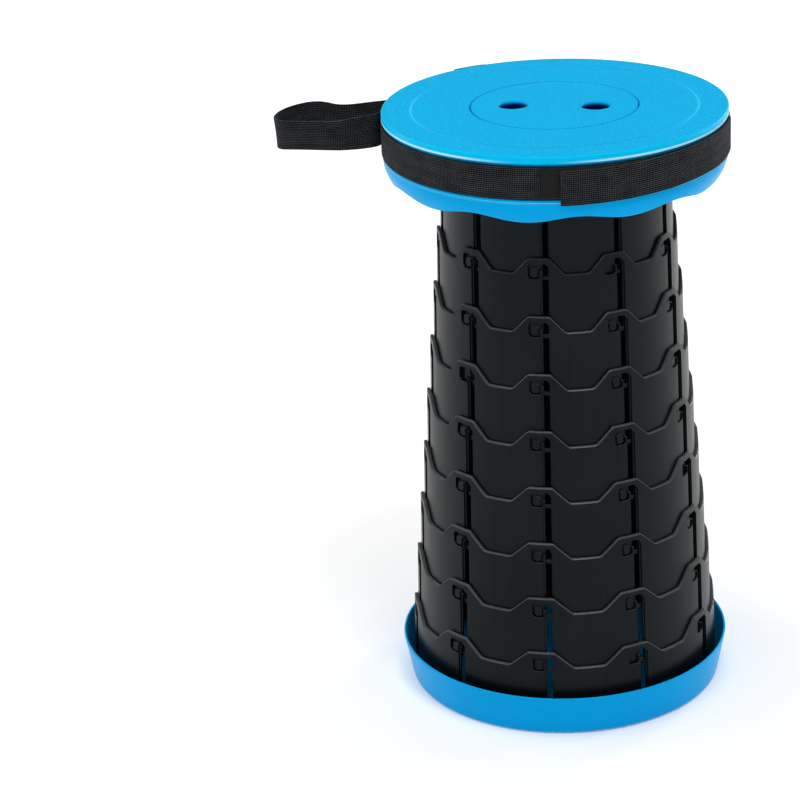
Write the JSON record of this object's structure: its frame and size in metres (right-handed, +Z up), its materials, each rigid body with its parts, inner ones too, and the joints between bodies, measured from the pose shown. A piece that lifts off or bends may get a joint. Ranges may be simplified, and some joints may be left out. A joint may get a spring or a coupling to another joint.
{
  "type": "telescopic camp stool",
  "caption": "Round camp stool that telescopes: a seat on nested locking rings in a shallow base tray, with a webbing strap and hanging loop.",
  "frame": {"origin": "centre of the underside, on the surface that the stool stands on", "axes": "+Z up along the axis of the rings, the front at -Y, with a column of slots 0.85 degrees from it, the finger holes on the X axis and the hanging loop towards -X"},
  "size_m": [0.3359, 0.2555, 0.45],
  "materials": {
    "seat_plastic": "bright blue moulded polypropylene, fine leather grain on top, satin on the sides",
    "ring_plastic": "black moulded nylon, satin, with faint upright moulding streaks",
    "webbing": "black woven webbing, matt, with ribs along its length",
    "hook_tape": "black hook tape, short stiff hooks",
    "loop_tape": "black loop tape, short soft pile",
    "foot_rubber": "black soft rubber, matt",
    "screw_steel": "zinc-plated steel"
  },
  "bodies": {
    "base": {"base_tray": "seat_plastic", "ring_9": "ring_plastic", "foot_pads": "foot_rubber", "base_screws": "screw_steel"},
    "stage_8": {"ring_8": "ring_plastic"},
    "stage_7": {"ring_7": "ring_plastic"},
    "stage_6": {"ring_6": "ring_plastic"},
    "stage_5": {"ring_5": "ring_plastic"},
    "stage_4": {"ring_4": "ring_plastic"},
    "stage_3": {"ring_3": "ring_plastic"},
    "stage_2": {"ring_2": "ring_plastic"},
    "stage_1": {"ring_1": "ring_plastic"},
    "seat": {"seat_top": "seat_plastic", "seat_skirt": "seat_plastic", "centre_disc": "seat_plastic", "neck_ring": "ring_plastic", "seat_screws": "screw_steel", "strap_band": "webbing", "hook_patch": "hook_tape", "loop_patch": "loop_tape", "strap_tail": "webbing", "strap_end": "webbing"},
    "loop": {"strap_loop": "webbing"}
  },
  "joints": [
    {"name": "stage_8_slide", "type": "slide", "parent": "base", "child": "stage_8", "axis": [0, 0, 1], "range_m": [-0.0426, 0]},
    {"name": "stage_7_slide", "type": "slide", "parent": "stage_8", "child": "stage_7", "axis": [0, 0, 1], "range_m": [-0.0426, 0]},
    {"name": "stage_6_slide", "type": "slide", "parent": "stage_7", "child": "stage_6", "axis": [0, 0, 1], "range_m": [-0.0426, 0]},
    {"name": "stage_5_slide", "type": "slide", "parent": "stage_6", "child": "stage_5", "axis": [0, 0, 1], "range_m": [-0.0426, 0]},
    {"name": "stage_4_slide", "type": "slide", "parent": "stage_5", "child": "stage_4", "axis": [0, 0, 1], "range_m": [-0.0426, 0]},
    {"name": "stage_3_slide", "type": "slide", "parent": "stage_4", "child": "stage_3", "axis": [0, 0, 1], "range_m": [-0.0426, 0]},
    {"name": "stage_2_slide", "type": "slide", "parent": "stage_3", "child": "stage_2", "axis": [0, 0, 1], "range_m": [-0.0426, 0]},
    {"name": "stage_1_slide", "type": "slide", "parent": "stage_2", "child": "stage_1", "axis": [0, 0, 1], "range_m": [-0.0426, 0]},
    {"name": "seat_slide", "type": "slide", "parent": "stage_1", "child": "seat", "axis": [0, 0, 1], "range_m": [-0.0318, 0]},
    {"name": "loop_swing", "type": "hinge", "parent": "seat", "child": "loop", "pos_m": [-0.1269, 0.0133, 0.4315], "axis": [0, 0, 1], "range_deg": [-35, 12]}
  ]
}
